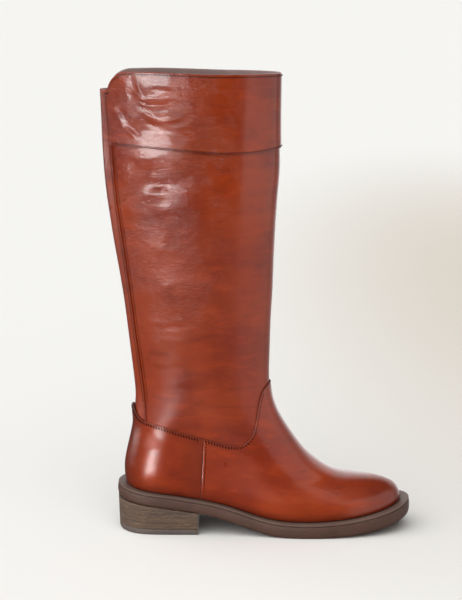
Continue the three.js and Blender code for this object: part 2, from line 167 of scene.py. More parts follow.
def spline(keys, values):
    """A natural cubic spline through the values, read as value(key)."""
    x = np.asarray(keys, float)
    y = np.asarray(values, float)
    steps = np.diff(x)
    slopes = np.diff(y) / steps
    count = len(x)
    system = np.eye(count)
    right = np.zeros(count)
    for i in range(1, count - 1):
        system[i, i - 1 : i + 2] = steps[i - 1], 2 * (steps[i - 1] + steps[i]), steps[i]
        right[i] = 6 * (slopes[i] - slopes[i - 1])
    bend = np.linalg.solve(system, right)

    def value(at):
        at = np.asarray(at, float)
        i = np.clip(np.searchsorted(x, at) - 1, 0, count - 2)
        step = steps[i]
        a = (x[i + 1] - at) / step
        b = (at - x[i]) / step
        curl = ((a**3 - a) * bend[i] + (b**3 - b) * bend[i + 1]) * step * step / 6
        return a * y[i] + b * y[i + 1] + curl

    return value


def walked(line):
    """The way along a line to each of its points."""
    return np.concatenate([[0], np.cumsum(np.linalg.norm(np.diff(line, axis=0), axis=1))])


def height_curve(rows):
    """x at a height, along a smooth plane curve through rows of x and z."""
    rows = np.asarray(rows, float)
    run = walked(rows)
    fine = np.linspace(0, run[-1], 6000)
    xs = spline(run, rows[:, 0])(fine)
    zs = np.maximum.accumulate(spline(run, rows[:, 1])(fine))
    return lambda z: np.interp(z, zs, xs)


def rows_spline(rows, value=1):
    """The spline of one column of rows against their first column."""
    return spline([r[0] for r in rows], [r[value] for r in rows])


front_x = height_curve(FRONT)
back_x = height_curve(BACK)
feather_z = rows_spline(FEATHER)
arch_z = rows_spline(ARCH)
foot_edge_z = rows_spline(FOOT_EDGE)
band_edge_z = rows_spline(BAND_EDGE)
strip_edge_x = spline([z for _, z in STRIP_EDGE], [x for x, _ in STRIP_EDGE])
outer_width = rows_spline(FOOT_WIDTHS, 1)
inner_width = rows_spline(FOOT_WIDTHS, 2)
LEVEL_COLUMNS = ("front", "front_full", "back", "back_full", "swell", "leg")
level_value = {name: rows_spline(LEVELS, 1 + i) for i, name in enumerate(LEVEL_COLUMNS)}


def seam_x(z):
    """x of the seam between counter and vamp at a height."""
    (low_x, low_z), (high_x, high_z) = SIDE_SEAM
    return lerp(low_x, high_x, (z - low_z) / (high_z - low_z))


def collar_z(x):
    """Height of the collar's top edge: the rim, the rounded rear corner, then the strip's top."""
    top = RIM + RIM_RISE
    ahead = np.clip(CORNER_X + CORNER_RADIUS - x, 0, CORNER_RADIUS)
    corner = top - CORNER_RADIUS + np.sqrt(CORNER_RADIUS**2 - ahead**2)
    return np.where(x > CORNER_X, corner, STRIP_TOP)


# ---- the last ----
class Last:
    """The boot's own surface, as rings of a level and points round them."""

    @staticmethod
    def ends(level):
        """Front and back x of a ring, and how its height follows the feather line."""
        front = front_x(level)
        foot = 1 - smooth(level, 50, 150)
        seat = feather_z(front)

        def height(x):
            rise = RIM_RISE * smooth(-x, -95, -20) * smooth(level, 330, RIM)
            return level + (feather_z(x) - seat) * foot + rise

        back = np.zeros_like(front)
        for _ in range(6):
            back = back_x(height(back))
        return front, back, height

    @classmethod
    def point(cls, level, turn):
        """Points of the surface, in millimetres."""
        level, turn = np.broadcast_arrays(np.asarray(level, float), np.asarray(turn, float))
        front, back, height = cls.ends(level)
        angle = turn * 2 * math.pi
        x = (back + front) / 2 - (front - back) / 2 * np.cos(angle)
        outer = np.sin(angle) > 0
        width = np.where(outer, outer_width(x), inner_width(x))
        row = {name: value(level) for name, value in level_value.items()}
        share = smooth(level, 44, 118)
        body = lerp(width * row["swell"], row["leg"], share)
        ahead = np.clip((x - row["front"]) / (front - row["front"]), 0, 1)
        behind = np.clip((row["back"] - x) / (row["back"] - back), 0, 1)
        half = body * np.sqrt(1 - ahead**2) * (1 + row["front_full"] * ahead**2)
        half = half * np.sqrt(1 - behind**2) * (1 + row["back_full"] * behind**2)
        y = np.where(outer, -half, half) - x * SHAFT_TURN * share
        return np.stack([x, y, height(x)], -1)

    @classmethod
    def normal(cls, level, turn):
        """Outward directions of the surface."""
        low = np.maximum(level - 0.4, FOOT_LEVEL)
        high = np.minimum(level + 0.4, RIM + 2)
        around = cls.point(level, turn + 0.003) - cls.point(level, turn - 0.003)
        up = cls.point(high, turn) - cls.point(low, turn)
        out = np.cross(around, up)
        return out / np.linalg.norm(out, axis=-1, keepdims=True)

    @classmethod
    def skin(cls, level, turn, offset):
        """Points that stand off the surface, with the leather's creases, in millimetres."""
        point = cls.point(level, turn)
        out = cls.normal(level, turn)
        lift = np.asarray(offset) + creases(point)
        return point + out * lift[..., None]

    @classmethod
    def turn_at(cls, level, x, outer):
        """The turn at which a ring passes an x, on the outer or the inner side."""
        front, back, _ = cls.ends(level)
        cosine = np.clip(((back + front) / 2 - x) / ((front - back) / 2), -1, 1)
        turn = np.arccos(cosine) / (2 * math.pi)
        return turn if outer else 1 - turn

    @staticmethod
    def row(points):
        """Millimetres of the last to metres of the frame."""
        return (np.asarray(points) + TO_ROW) * MM


def sole_outline(distance, count=192):
    """Plan of the feather line moved out by a distance that depends on x."""
    turn = np.arange(count) / count
    base = Last.point(FOOT_LEVEL, turn)[:, :2]
    along = np.roll(base, -1, 0) - np.roll(base, 1, 0)
    out = np.stack([along[:, 1], -along[:, 0]], -1)
    out /= np.linalg.norm(out, axis=1, keepdims=True)
    return base + out * np.asarray(distance(base[:, 0]))[:, None]


def overhang(x):
    """How far the sole's edge stands out past the feather line."""
    behind = lerp(10.0, 7.2, smooth(x, 0, 34))
    ahead = lerp(8.4, 10.8, smooth(x, 215, 254))
    return lerp(behind, ahead, smooth(x, 80, 150))


def last_to_row():
    """The heel's breast and the sole's middle tie the last's millimetres to the frame."""
    heel_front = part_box("heel")[1][0] / MM
    low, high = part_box("outsole")
    edge = sole_outline(overhang, 64)
    middle = (low[1] + high[1]) / 2 / MM
    return np.array([heel_front - BREAST, middle - (edge[:, 1].min() + edge[:, 1].max()) / 2, 0])


# ---- the leather's folds, given in side view, in millimetres ----
# start x and z, end x and z, bow to the left of the way along, half width, lift
FOLDS = [
    # collar band, near the back: steep folds down from the rim
    (4, 421, 8, 402, -1.5, 2.2, 0.45),
    (10, 424, 16, 404, -2.0, 2.4, -0.4),
    (15, 423, 22, 405, -2.0, 2.0, 0.4),
    (-6, 412, -1, 396, -1.5, 2.2, -0.35),
    # collar band: the long slanting fold behind the calf
    (-8, 397, 2, 378, 2.0, 2.4, 0.75),
    (2, 379, 13, 369, 1.5, 2.0, 0.55),
    (-3, 398, 8, 380, 2.0, 2.6, -0.55),
    (7, 383, 18, 371, 1.0, 2.4, -0.4),
    # collar band, middle: wavy level folds
    (12, 408, 24, 399, -2.5, 1.9, 0.55),
    (24, 399, 47, 402, -2.0, 2.0, 0.6),
    (47, 402, 60, 409, 1.5, 1.9, 0.5),
    (24, 405, 50, 408, -2.0, 2.4, -0.5),
    (29, 414, 56, 413, -2.5, 1.8, 0.35),
    (22, 393, 33, 386, -1.5, 1.9, 0.5),
    (33, 386, 52, 388, -2.0, 2.0, 0.5),
    (20, 387, 36, 380, -2.0, 2.4, -0.5),
    (40, 380, 66, 383, -2.0, 2.0, 0.35),
    (57, 367, 78, 376, 2.0, 1.9, 0.4),
    (52, 373, 74, 381, 2.0, 2.3, -0.35),
    (60, 398, 82, 394, 2.5, 2.2, 0.3),
    (70, 411, 92, 404, 2.5, 2.2, -0.25),
    (84, 398, 98, 386, 2.0, 2.2, 0.25),
    # upper shaft
    (4, 355, 30, 350, -2.0, 3.4, 0.5),
    (8, 343, 40, 339, -2.0, 3.0, -0.4),
    (14, 318, 42, 322, -2.5, 3.6, 0.4),
    (20, 329, 52, 327, 2.5, 5.0, -0.7),
    (26, 306, 56, 312, -3.0, 3.2, 0.4),
    (34, 297, 66, 303, 3.0, 3.6, -0.45),
    (50, 281, 66, 290, 2.0, 2.6, 0.4),
    (56, 269, 74, 280, 2.0, 2.8, -0.35),
    (20, 275, 44, 270, -2.0, 3.0, 0.35),
    (24, 262, 58, 263, 2.0, 3.4, -0.4),
    # middle of the shaft: the arched fold and the short deep creases under it
    (26, 226, 58, 242, 5.0, 3.6, 0.55),
    (58, 242, 104, 226, 7.0, 3.8, 0.55),
    (30, 217, 98, 218, 12.0, 4.2, -0.5),
    (28, 241, 46, 236, -1.5, 2.6, 0.35),
    (24, 202, 40, 200, 1.0, 2.2, 0.6),
    (32, 197, 62, 199, 1.0, 2.3, -0.85),
    (42, 207, 60, 205, -1.0, 2.2, 0.5),
    (64, 212, 98, 207, 5.0, 2.6, 0.4),
    (58, 192, 88, 201, 3.0, 2.8, -0.35),
    (30, 187, 58, 186, -2.0, 3.2, 0.35),
    # ankle
    (22, 165, 44, 161, -1.5, 3.0, 0.4),
    (28, 157, 62, 160, 2.0, 3.6, -0.45),
    (40, 147, 80, 152, -3.0, 4.2, 0.35),
    (24, 134, 70, 140, 2.0, 4.6, -0.45),
    (56, 124, 100, 136, 3.0, 4.6, 0.3),
    (30, 119, 84, 121, -2.5, 4.6, -0.3),
    # instep and ball, very soft
    (110, 77, 132, 72, 3.0, 5.0, -0.25),
    (160, 46, 188, 38, 4.0, 6.0, -0.3),
    (172, 53, 196, 44, 3.0, 5.0, 0.25),
]
# centre x and z, half length along x and z, lift
SWELLS = [
    (28, 397, 26, 14, 0.8),
    (60, 416, 40, 8, -0.5),
    (40, 378, 34, 7, -0.7),
    (22, 353, 22, 8, 0.8),
    (36, 332, 26, 9, -0.9),
    (34, 306, 30, 11, 0.9),
    (56, 272, 22, 14, 0.8),
    (80, 300, 24, 24, -0.6),
    (30, 254, 22, 10, -0.5),
    (66, 233, 40, 9, 0.8),
    (60, 210, 46, 9, -0.8),
    (34, 178, 26, 12, 0.5),
    (78, 168, 34, 16, -0.5),
]


def fold_lift(x, z):
    """Lift of the folds and swells at points of the side view."""
    lift = np.zeros(x.shape)
    for x0, z0, x1, z1, bow, width, height in FOLDS:
        run = math.hypot(x1 - x0, z1 - z0)
        middle = ((x0 + x1) / 2 - (z1 - z0) / run * bow, (z0 + z1) / 2 + (x1 - x0) / run * bow)
        share = np.clip(((x - x0) * (x1 - x0) + (z - z0) * (z1 - z0)) / run**2, 0, 1)
        along_x = (1 - share) ** 2 * x0 + 2 * share * (1 - share) * middle[0] + share**2 * x1
        along_z = (1 - share) ** 2 * z0 + 2 * share * (1 - share) * middle[1] + share**2 * z1
        near = np.exp(-((x - along_x) ** 2 + (z - along_z) ** 2) / width**2)
        lift += height * near * (0.25 + 0.75 * np.sin(share * math.pi))
    for x0, z0, along, up, height in SWELLS:
        lift += height * np.exp(-(((x - x0) / along) ** 2) - ((z - z0) / up) ** 2)
    return lift


def creases(point):
    """How far the leather's soft folds lift it: the inner side has the outer side's, moved on."""
    x, y, z = np.moveaxis(point, -1, 0)
    across = y + x * SHAFT_TURN * smooth(z, 44, 118)
    outer = 1 - smooth(across, -8, 8)
    depth = bpy.context.scene.boot_leather.fold_depth
    return depth * lerp(0.8 * fold_lift(x + 9, z - 11), fold_lift(x, z), outer)


TO_ROW = last_to_row()


# ---- the seams, as turns and levels ----
def turn_on(level, line_x, outer):
    """The turn at which a ring crosses a line given as x over height."""
    z = np.asarray(level, float)
    turn = Last.turn_at(level, line_x(z), outer)
    for _ in range(4):
        turn = Last.turn_at(level, line_x(Last.point(level, turn)[..., 2]), outer)
    return turn


def vamp_turn(level, u):
    """Across the vamp: from the outer side seam round the toe to the inner one."""
    return lerp(turn_on(level, seam_x, True), turn_on(level, seam_x, False), u)


def counter_turn(level, u):
    """Across the counter: from the inner side seam round the heel to the outer one."""
    start = turn_on(level, seam_x, False) - 1
    return lerp(start, turn_on(level, seam_x, True), u)


def band_turn(level, u):
    """Across the collar band: from the strip's outer seam round the shin to its inner one."""
    eased = u - 0.11 * np.sin(2 * math.pi * u)
    start = turn_on(level, strip_edge_x, True)
    return lerp(start, turn_on(level, strip_edge_x, False), eased)


def strip_turn(level, u):
    """Across the back strip: from its inner seam to its outer one."""
    start = turn_on(level, strip_edge_x, False) - 1
    return lerp(start, turn_on(level, strip_edge_x, True), u)


def full_turn(level, u):
    """Once round the leg, with more points near the back."""
    return np.broadcast_to(u - 0.08 * np.sin(2 * math.pi * u), np.shape(level + u))


def counter_flare(point):
    """How far the counter's peak stands off the leg."""
    return COUNTER_FLARE * smooth(point[..., 2], 98, 118) * (1 - smooth(point[..., 0], 8, 22))


def counter_lift(point):
    """The counter's peak, and the stiff bulge over the heel."""
    bulge = 1.3 * np.exp(-(((point[..., 2] - 66) / 22) ** 2)) * (1 - smooth(point[..., 0], 36, 66))
    return counter_flare(point) + bulge


# an edge as its height over x, and the lowest and highest level that it reaches
FOOT_TOP = (foot_edge_z, 60, 150)
SHAFT_FOOT = (lambda x: foot_edge_z(x) - SHAFT_TUCK, 60, 150)
STRIP_FOOT = (lambda x: foot_edge_z(np.clip(x, 2, 30)) + 0.8, 90, 140)
BAND_FOOT = (band_edge_z, 340, 380)
COLLAR = (collar_z, 380, RIM)


def level_under(edge, turns, u, offset=0.0, extra=None):
    """For each u, the level at which a leather reaches an edge."""
    edge_z, lowest, highest = edge
    low = np.full(u.shape, float(lowest))
    high = np.full(u.shape, float(highest))
    for _ in range(24):
        middle = (low + high) / 2
        turn = turns(middle, u)
        base = Last.point(middle, turn)
        lift = offset + (extra(base) if extra else 0)
        at = base + Last.normal(middle, turn) * np.asarray(lift)[..., None]
        below = at[..., 2] < edge_z(at[..., 0])
        low = np.where(below, middle, low)
        high = np.where(below, high, middle)
    return (low + high) / 2


def edge_level(edge, turns, u, offset=0.0, extra=None):
    """The same for a whole grid, worked out once for each of its columns."""
    columns = np.unique(np.round(u, 6))
    return np.interp(u, columns, level_under(edge, turns, columns, offset, extra))


def overlay_offset():
    """How far the outer face of a leather over the shaft leather stands off the last."""
    return bpy.context.scene.boot_leather.thickness + GAP


# ---- building steps ----
def select_only(piece):
    """Deselects everything, then selects one piece and makes it active."""
    bpy.ops.object.select_all(action="DESELECT")
    piece.select_set(True)
    bpy.context.view_layer.objects.active = piece


def start_grid(name, columns, rows):
    """A unit grid, the start of every sheet and block."""
    bpy.ops.object.select_all(action="DESELECT")
    bpy.ops.mesh.primitive_grid_add(x_subdivisions=columns, y_subdivisions=rows, size=1)
    piece = bpy.context.object
    piece.name = name
    piece.data.name = name
    return piece


def grid_places(piece):
    """The grid's own u and v of each point, and how many layers it was raised."""
    flat = np.empty(len(piece.data.vertices) * 3)
    piece.data.vertices.foreach_get("co", flat)
    u, v, layer = flat.reshape(-1, 3).T
    return u + 0.5, v + 0.5, np.rint(layer).astype(int)


def set_points(piece, points):
    """Moves a piece's points to places given in the last's millimetres."""
    piece.data.vertices.foreach_set("co", Last.row(points).ravel())
    piece.data.update()


def weld(piece, outwards=False):
    """Merges doubled points, and turns the faces outwards where the piece is closed."""
    select_only(piece)
    bpy.ops.object.mode_set(mode="EDIT")
    bpy.ops.mesh.select_all(action="SELECT")
    bpy.ops.mesh.remove_doubles(threshold=2e-6)
    if outwards:
        bpy.ops.mesh.normals_make_consistent(inside=False)
    bpy.ops.object.mode_set(mode="OBJECT")


def finish_with(piece, kind, **settings):
    """Adds a modifier and applies it."""
    select_only(piece)
    step = piece.modifiers.new(kind.title(), kind)
    for key, value in settings.items():
        setattr(step, key, value)
    bpy.ops.object.modifier_apply(modifier=step.name)


def soften(piece, width, segments=2, angle=50):
    """Rounds the sharp edges of a piece, then smooths the rest."""
    finish_with(
        piece, "BEVEL", width=width * MM, segments=segments, limit_method="ANGLE",
        angle_limit=math.radians(angle), use_clamp_overlap=True,
    )
    select_only(piece)
    bpy.ops.object.shade_smooth_by_angle(angle=math.radians(angle - 5))


def hand_over(piece, slot, *nodes):
    """Ties a finished piece to the frame."""
    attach(piece, "root")
    if nodes:
        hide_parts(*nodes)


def leather_sheet(name, columns, rows, place, thickness, materials, rim=2, edge=0.25):
    """A sheet laid on the last: place(u, v) gives its outer face, and it is thickened inwards."""
    piece = start_grid(name, columns, rows)
    u, v, _ = grid_places(piece)
    # place also gives a mask of painted shade, with a darker toe on the vamp, kept on the points for
    # the leather's colour
    points, burnish = place(u, v)
    set_points(piece, points)
    mark = piece.data.attributes.new("burnish", "FLOAT", "POINT")
    mark.data.foreach_set("value", burnish.astype(np.float32))
    weld(piece)
    for material in materials:
        piece.data.materials.append(material)
    finish_with(
        piece, "SOLIDIFY", thickness=thickness * MM, offset=-1,
        material_offset=1, material_offset_rim=rim,
    )
    soften(piece, edge)
    return piece


def thread_row(base, out, pitch, length, width, slant=0.0, sink=0.12, offset=1.5):
    """Where the stitches of a row go: matrices along a line of points on the last."""
    run = walked(base)
    count = max(2, int(run[-1] / pitch))
    at = (np.arange(count) + 0.5) * run[-1] / count

    def along(values):
        return np.stack([np.interp(at, run, values[:, i]) for i in range(3)], -1)

    middle = along(base)
    normal = along(out)
    normal /= np.linalg.norm(normal, axis=1, keepdims=True)
    forward = along(np.gradient(base, axis=0))
    forward -= normal * (forward * normal).sum(1, keepdims=True)
    forward /= np.linalg.norm(forward, axis=1, keepdims=True)
    side = np.cross(normal, forward)
    turned = forward * math.cos(slant) + side * math.sin(slant)
    across = np.cross(normal, turned)
    middle = middle + normal * (offset - sink * width + creases(middle))[:, None]
    places = []
    for m, a, b, n in zip(Last.row(middle), turned, across, normal):
        matrix = np.eye(4)
        matrix[:3, 0] = a * length / 2 * MM
        matrix[:3, 1] = b * width / 2 * MM
        matrix[:3, 2] = n * width / 2 * MM
        matrix[:3, 3] = m
        places.append(matrix)
    return places


def sew(name, places, material):
    """One stitch modelled once, copied to every place and joined."""
    bpy.ops.object.select_all(action="DESELECT")
    bpy.ops.mesh.primitive_uv_sphere_add(segments=6, ring_count=4, radius=1)
    first = bpy.context.object
    first.name = name
    bpy.ops.object.mode_set(mode="EDIT")
    bpy.ops.mesh.select_all(action="SELECT")
    bpy.ops.transform.rotate(value=math.pi / 2, orient_axis="Y", center_override=(0, 0, 0))
    bpy.ops.object.mode_set(mode="OBJECT")
    bpy.ops.object.shade_smooth()
    first.data.materials.append(material)
    stitches = [first]
    for _ in places[1:]:
        stitch = first.copy()
        stitch.data = first.data.copy()
        bpy.context.collection.objects.link(stitch)
        stitches.append(stitch)
    for stitch, place in zip(stitches, places):
        stitch.matrix_world = Matrix(place.tolist())
        stitch.select_set(True)
    bpy.context.view_layer.objects.active = first
    bpy.ops.object.join()
    bpy.ops.object.transform_apply(location=True, rotation=True, scale=True)
    first.data.name = name
    return first


# ---- finishes ----
class Value:
    """A shader socket that takes part in Python arithmetic by adding Math nodes."""

    def __init__(self, finish, socket):
        self.finish = finish
        self.socket = socket

    def _math(self, operation, *operands):
        sockets = dict(enumerate(operands))
        return self.finish.node("ShaderNodeMath", {"operation": operation}, sockets)

    def __add__(self, other):
        return self._math("ADD", self, other)

    def __sub__(self, other):
        return self._math("SUBTRACT", self, other)

    def __rsub__(self, other):
        return self._math("SUBTRACT", other, self)

    def __mul__(self, other):
        return self._math("MULTIPLY", self, other)

    __radd__ = __add__
    __rmul__ = __mul__


class Finish:
    """A material in the making: one Principled shader and the nodes that feed it."""

    def __init__(self, name, **constants):
        self.material = bpy.data.materials.new(name)
        self.material.use_nodes = True
        self.tree = self.material.node_tree
        self.shader = self.tree.nodes["Principled BSDF"]
        for key, value in constants.items():
            socket = key.replace("_", " ").title().replace("Ior", "IOR")
            self.shader.inputs[socket].default_value = value
        self.place = self.node("ShaderNodeTexCoord", output="Object")

    def node(self, kind, settings=None, sockets=None, output=0):
        """Adds a node: its settings first, then the values or links of its sockets."""
        made = self.tree.nodes.new(kind)
        for key, value in (settings or {}).items():
            if key == "stops":
                ramp = made.color_ramp.elements
                while len(ramp) < len(value):
                    ramp.new(1.0)
                for stop, (position, colour) in zip(ramp, value):
                    stop.position = position
                    stop.color = colour
            else:
                setattr(made, key, value)
        for key, value in (sockets or {}).items():
            if isinstance(value, Value):
                self.tree.links.new(value.socket, made.inputs[key])
            else:
                made.inputs[key].default_value = value
        return Value(self, made.outputs[output])

    def feed(self, name, value):
        """Links a varying value or colour to the shader."""
        self.tree.links.new(value.socket, self.shader.inputs[name])

    def noise(self, scale, detail=3.0, roughness=0.55, distortion=0.0, where=None):
        """Cloudy noise round 0.5."""
        sockets = {"Vector": where or self.place, "Scale": scale, "Detail": detail}
        sockets.update({"Roughness": roughness, "Distortion": distortion})
        return self.node("ShaderNodeTexNoise", None, sockets, output="Fac")

    def drawn(self, cells, detail, roughness, distortion):
        """Noise drawn out along the axes that have few cells to the metre."""
        where = self.node("ShaderNodeMapping", None, {"Vector": self.place, "Scale": cells})
        return self.noise(1.0, detail, roughness, distortion, where)

    def cells(self, scale):
        """Distance from the nearest middle of random cells."""
        sockets = {"Vector": self.place, "Scale": scale}
        return self.node("ShaderNodeTexVoronoi", {"feature": "F1"}, sockets, output="Distance")

    def ramp(self, value, low, high):
        """0 at low and 1 at high, smoothly."""
        sockets = {"Value": value, "From Min": low, "From Max": high}
        return self.node("ShaderNodeMapRange", {"interpolation_type": "SMOOTHSTEP"}, sockets)

    def mix(self, share, first, second):
        """Two colours mixed by a share."""
        sockets = {0: share, 6: first, 7: second}
        return self.node("ShaderNodeMix", {"data_type": "RGBA"}, sockets, output=2)

    def along(self, axis):
        """One axis of the object's own coordinates, in metres."""
        return self.node("ShaderNodeSeparateXYZ", None, {0: self.place}, output=axis)

    def mark(self, name):
        """A value stored on the piece's points."""
        return self.node("ShaderNodeAttribute", {"attribute_name": name}, output="Fac")

    def emboss(self, height, strength=1.0):
        """Bumps the surface by a height in millimetres."""
        sockets = {"Strength": strength, "Distance": MM, "Height": height}
        self.feed("Normal", self.node("ShaderNodeBump", None, sockets))


def shade(colour, factor):
    """A colour made lighter or darker."""
    return [channel * factor for channel in colour[:3]] + [1.0]


# where the leather's look changes, in metres: heights, and places from front to back
LOWER_LEG = (0.13, 0.24)
UPPER_LEG = (0.29, 0.36)
BAND_TO_SHAFT = (0.35, 0.26)
SHIN_TO_CALF = (-0.005, -0.06)


def cognac_leather(name, wrinkle, light):
    """Polished cognac leather; wrinkle scales the drawn grain of the leg, light the colour as painted
    light.
    """
    leather = bpy.context.scene.boot_leather
    finish = Finish(name, roughness=0.3, coat_roughness=0.1, coat_ior=1.4, specular_ior_level=0.32)
    height = finish.along("Z")
    cloud = finish.noise(16.0, 4.0)
    streak = finish.drawn((34.0, 34.0, 120.0), 4.0, 0.6, 0.6)
    fine = finish.drawn((130.0, 130.0, 380.0), 4.0, 0.6, 1.6)
    small = finish.drawn((320.0, 320.0, 760.0), 3.0, 0.6, 0.8)
    pebble = finish.cells(900.0)
    crinkle = 1 - finish.node("ShaderNodeMath", {"operation": "ABSOLUTE"}, {0: fine * 2 - 1}) * 5
    crinkle = finish.node("ShaderNodeMath", {"operation": "MAXIMUM"}, {0: crinkle, 1: 0.0})
    # light scales the colour: above 1 it makes a lighter copy of the same leather, painted light
    base = shade(leather.colour, light)
    tone = finish.mix(finish.ramp(cloud, 0.34, 0.68), shade(leather.shade_colour, light), base)
    tone = finish.mix(finish.ramp(streak, 0.5, 0.74) * 0.55, tone, shade(base, 1.28))
    tone = finish.mix(finish.ramp(streak, 0.46, 0.26) * 0.5, tone, shade(leather.shade_colour, 0.72))
    # painted shade: much darker where a piece's mask is set, at the sole, seams, edges and the back
    # of the heel, and darker towards the toe
    tone = finish.mix(finish.mark("burnish"), tone, shade(leather.shade_colour, 0.42))
    finish.feed("Base Color", tone)
    region = finish.ramp(height, *UPPER_LEG) * 0.55 + finish.ramp(height, *LOWER_LEG) * 0.45
    region = region * finish.ramp(finish.along("X"), *SHIN_TO_CALF)
    patchy = finish.ramp(finish.noise(26.0, 2.0), 0.4, 0.62)
    lump = finish.noise(75.0, 2.0) * 1.6
    ripple = (fine * 0.46 + small * 0.4 + crinkle * patchy * 0.36 + lump) * region * wrinkle
    finish.emboss((ripple + pebble * 0.015 + small * 0.02 + cloud * 0.3) * leather.grain_depth)
    dull = finish.ramp(height, *BAND_TO_SHAFT) * wrinkle
    polish = 0.1 + 0.12 * (1 - wrinkle)
    finish.feed("Roughness", polish + cloud * 0.08 + small * 0.06 * region + dull * 0.22)
    finish.feed("Coat Weight", 0.32 - streak * 0.2 - dull * 0.16)
    return finish.material


def cut_edge(name):
    """The burnished cut edge of a leather; its dark colour also stands in as painted shade along the
    edges.
    """
    leather = bpy.context.scene.boot_leather
    finish = Finish(name, roughness=0.6)
    fibre = finish.noise(900.0, 3.0)
    finish.feed("Base Color", finish.mix(fibre, shade(leather.edge_colour, 0.7), leather.edge_colour))
    finish.feed("Roughness", 0.5 + fibre * 0.25)
    finish.emboss(fibre * 0.08)
    return finish.material


def lining_suede(name):
    """The soft lining, with a short nap."""
    leather = bpy.context.scene.boot_leather
    finish = Finish(name, roughness=0.85, sheen_weight=0.25, sheen_roughness=0.5)
    nap = finish.noise(1400.0, 3.0)
    brushed = finish.drawn((60.0, 60.0, 110.0), 4.0, 0.6, 0.0)
    colour = leather.lining_colour
    tone = finish.mix(finish.ramp(brushed, 0.35, 0.7), shade(colour, 0.8), colour)
    tone = finish.mix(nap * 0.4, tone, shade(colour, 1.3))
    finish.feed("Base Color", tone)
    finish.feed("Roughness", 0.75 + nap * 0.2)
    finish.emboss(nap * 0.12)
    return finish.material


def sewing_thread(name):
    """Waxed thread, with the twist of its plies."""
    colour = bpy.context.scene.boot_stitching.colour
    finish = Finish(name, roughness=0.7, specular_ior_level=0.05)
    ply = finish.noise(2200.0, 2.0)
    finish.feed("Base Color", finish.mix(ply, shade(colour, 0.7), shade(colour, 1.1)))
    finish.feed("Roughness", 0.45 + ply * 0.25)
    finish.emboss(ply * 0.05)
    return finish.material


def sole_rubber(name, colour, roughness):
    """Moulded rubber: the faint drag of the mould, dust on it, and small nicks."""
    finish = Finish(name, roughness=roughness, specular_ior_level=0.25)
    cloud = finish.noise(30.0, 5.0, 0.6)
    drag = finish.drawn((45.0, 45.0, 520.0), 4.0, 0.6, 0.3)
    dust = finish.noise(700.0, 3.0, 0.6)
    nick = finish.cells(160.0)
    tone = finish.mix(finish.ramp(cloud, 0.35, 0.7), shade(colour, 0.86), shade(colour, 1.1))
    tone = finish.mix(finish.ramp(drag, 0.52, 0.8) * 0.5, tone, shade(colour, 1.28))
    tone = finish.mix(finish.ramp(dust, 0.6, 0.8) * 0.25, tone, shade(colour, 1.6))
    finish.feed("Base Color", tone)
    finish.feed("Roughness", roughness + dust * 0.14 - 0.07)
    finish.emboss(dust * 0.1 + drag * 0.14 + finish.ramp(nick, 0.0, 0.1) * 0.05)
    return finish.material


def stacked_heel(name):
    """The heel block: irregular level grain like pressed leather layers."""
    sole = bpy.context.scene.boot_sole
    finish = Finish(name, roughness=0.62, specular_ior_level=0.25)
    layer = finish.drawn((14.0, 14.0, 420.0), 3.0, 0.5, 0.4)
    grain = finish.drawn((90.0, 90.0, 1500.0), 5.0, 0.7, 0.8)
    fleck = finish.drawn((260.0, 260.0, 900.0), 3.0, 0.6, 0.0)
    tone = finish.mix(finish.ramp(layer, 0.36, 0.66), sole.stack_dark, sole.stack_colour)
    tone = finish.mix(finish.ramp(grain, 0.5, 0.7) * 0.75, tone, sole.stack_light)
    tone = finish.mix(finish.ramp(grain, 0.44, 0.3) * 0.7, tone, shade(sole.stack_dark, 0.6))
    tone = finish.mix(finish.ramp(fleck, 0.6, 0.75) * 0.35, tone, shade(sole.stack_light, 1.15))
    finish.feed("Base Color", tone)
    finish.feed("Roughness", 0.52 + grain * 0.25)
    finish.emboss(grain * 0.5 + layer * 0.35 + fleck * 0.12)
    return finish.material


def pale_floor(name):
    """The studio floor: pale, with a painted shadow, a little warmer and darker, far off to the
    right.
    """
    stage = bpy.context.scene.boot_stage
    finish = Finish(name, roughness=0.85, specular_ior_level=0.0)
    # painted shadow: the floor turns darker and warmer towards a spot far off to the right
    around = {"Vector": finish.place, "Location": (-0.9, -0.69, 0.0), "Scale": (2.0, 0.625, 0.0)}
    spot = finish.node("ShaderNodeMapping", None, around)
    shadow_distance = finish.node("ShaderNodeVectorMath", {"operation": "LENGTH"}, {0: spot}, output="Value")
    tone = finish.mix(finish.ramp(shadow_distance, 1.25, 0.15), stage.floor_colour, stage.floor_painted_shadow)
    finish.feed("Base Color", tone)
    finish.emboss(finish.noise(300.0, 2.0) * 0.05)
    return finish.material


def finish_called(name, make, *values):
    """A material by name, made the first time it is asked for."""
    return bpy.data.materials.get(name) or make(name, *values)


# the foot's light of 1.1 makes its colour lighter than the leg's: painted light on the foot
LEATHER_LOOKS = {"leg": (1.0, 1.0), "foot": (0.25, 1.1)}  # wrinkle and light of cognac_leather


def leathers(part):
    """Grain side, flesh side and cut edge of the leathers of the leg or the foot."""
    return (
        finish_called("cognac_" + part, cognac_leather, *LEATHER_LOOKS[part]),
        finish_called("suede", lining_suede),
        finish_called("burnished_edge", cut_edge),
    )


# ---- settings ----
def colour_setting(name, description, default):
    """A colour a user may change."""
    return bpy.props.FloatVectorProperty(
        name=name, description=description, subtype="COLOR", size=4, min=0, max=1,
        default=(*default, 1.0),
    )


def size_setting(name, description, default, **more):
    """A number a user may change."""
    return bpy.props.FloatProperty(name=name, description=description, default=default, **more)


